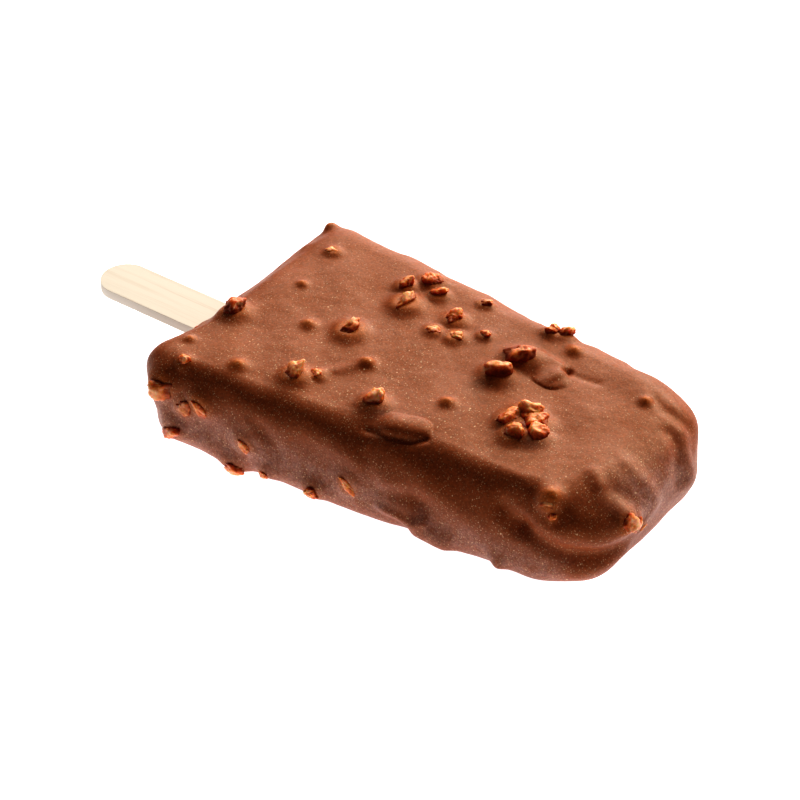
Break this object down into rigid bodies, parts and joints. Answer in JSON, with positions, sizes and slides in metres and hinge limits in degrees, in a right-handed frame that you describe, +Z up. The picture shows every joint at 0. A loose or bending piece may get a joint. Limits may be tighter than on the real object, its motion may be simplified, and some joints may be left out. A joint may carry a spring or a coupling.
{
  "type": "ice cream bar",
  "caption": "Ice cream bar: a tapered round-tipped slab in wavy milk chocolate with chopped almonds, on a flat wooden stick, lying on its flat underside.",
  "frame": {"origin": "bottom centre of the box of the whole thing, on the flat underside that it lies on", "axes": "+X along the bar from the stick to the rounded tip, +Y across it, +Z up through its thickness"},
  "size_m": [0.1292, 0.0626, 0.0231],
  "materials": {
    "milk_chocolate": "cold milk chocolate coating, soft sheen with fine frost",
    "roasted_almond": "chopped caramelised almond, slightly glossy",
    "birch": "sanded pale birch, unvarnished"
  },
  "bodies": {
    "root": {"coated_bar": "milk_chocolate", "stick": "birch"}
  },
  "joints": []
}
